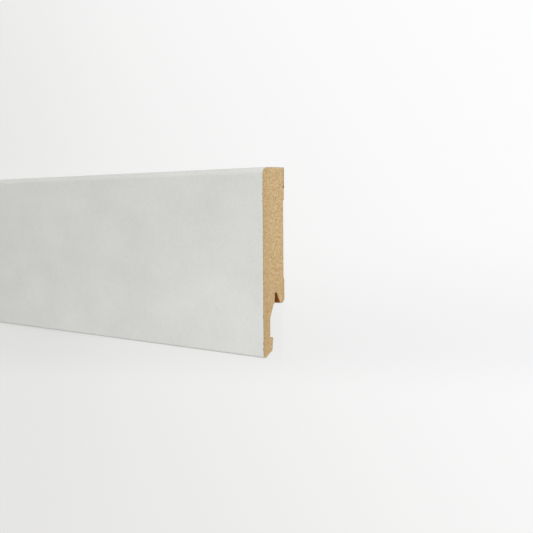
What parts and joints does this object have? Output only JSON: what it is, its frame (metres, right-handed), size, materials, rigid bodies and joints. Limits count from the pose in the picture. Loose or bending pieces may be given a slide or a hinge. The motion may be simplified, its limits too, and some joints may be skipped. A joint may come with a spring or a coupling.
{
  "type": "skirting board length",
  "caption": "Length of flat-faced MDF skirting board with a rounded top corner, wrapped in pale foil, with a clip groove, cable space and shallow relief milled along its back.",
  "frame": {"origin": "middle of the board's length and height, on the plane of its back pads, which is the floor it lies on", "axes": "+X along the board towards the sawn end that the picture shows, +Y towards the top edge, +Z out of the face"},
  "size_m": [2.4, 0.1, 0.015],
  "materials": {
    "mdf": "matte",
    "foil": "matte"
  },
  "bodies": {
    "root": {"mdf_core": "mdf", "decor_foil": "foil"}
  },
  "joints": []
}
